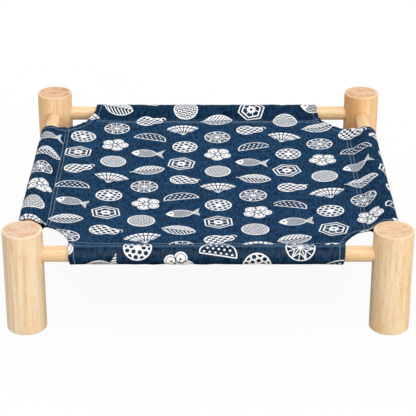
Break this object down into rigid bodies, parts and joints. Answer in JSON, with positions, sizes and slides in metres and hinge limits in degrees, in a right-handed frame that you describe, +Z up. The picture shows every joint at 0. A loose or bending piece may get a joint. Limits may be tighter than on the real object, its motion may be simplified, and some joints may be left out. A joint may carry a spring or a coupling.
{
  "type": "cat hammock bed",
  "caption": "Low square cat bed: turned wooden posts joined by round rods, with a printed cloth stretched between the rods in sewn sleeves and cut hollow at the corners.",
  "frame": {"origin": "on the floor, in the middle of the bed", "axes": "+Z up, -Y towards the front, +X to the right seen from the front; the posts stand at the four corners of the XY square"},
  "size_m": [0.455, 0.455, 0.122],
  "materials": {
    "pine": "sanded, clear oiled softwood",
    "rod_wood": "sanded dowel",
    "navy_cloth": "slubby plain-weave cotton canvas, navy with white print"
  },
  "bodies": {
    "root": {"post_front_left": "pine", "post_front_right": "pine", "post_rear_left": "pine", "post_rear_right": "pine", "rod_right": "rod_wood", "rod_rear": "rod_wood", "rod_left": "rod_wood", "rod_front": "rod_wood", "bed_cloth": "navy_cloth", "sleeve_right": "navy_cloth", "sleeve_rear": "navy_cloth", "sleeve_left": "navy_cloth", "sleeve_front": "navy_cloth", "hem_front_left": "navy_cloth", "hem_front_right": "navy_cloth", "hem_rear_left": "navy_cloth", "hem_rear_right": "navy_cloth"}
  },
  "joints": []
}
